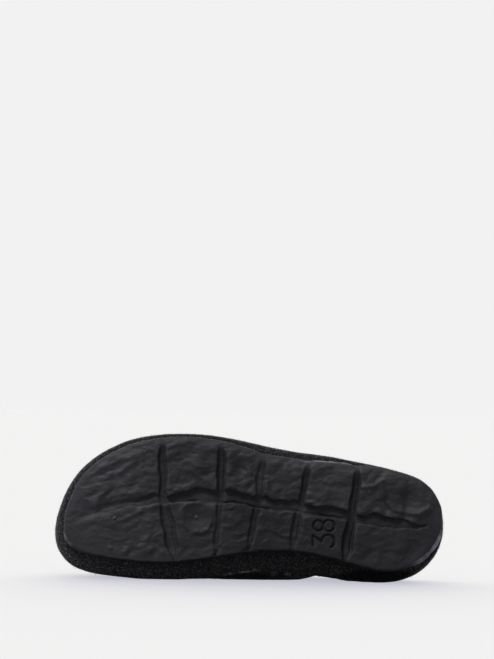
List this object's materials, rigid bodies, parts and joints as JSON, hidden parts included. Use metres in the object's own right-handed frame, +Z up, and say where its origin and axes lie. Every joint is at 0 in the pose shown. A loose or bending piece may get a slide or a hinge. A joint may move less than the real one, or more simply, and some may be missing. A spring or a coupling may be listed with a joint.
{
  "type": "mule slipper",
  "caption": "Low felt mule slipper with a closed toe, an open heel with a low rim and a black rubber sole of rough blocks, lying on its inner side.",
  "frame": {"origin": "centre of the box's underside, on the floor the slipper lies on", "axes": "-X towards the toe, +Z up towards the outer side of the foot, -Y the way the sole faces"},
  "size_m": [0.26, 0.0904, 0.0962],
  "materials": {
    "rubber_black": "matte natural rubber",
    "felt_charcoal": "dark grey melange wool felt",
    "felt_footbed": "dark grey wool felt"
  },
  "bodies": {
    "root": {"outsole": "rubber_black", "midsole": "felt_charcoal", "upper": "felt_charcoal", "insole": "felt_footbed"}
  },
  "joints": []
}
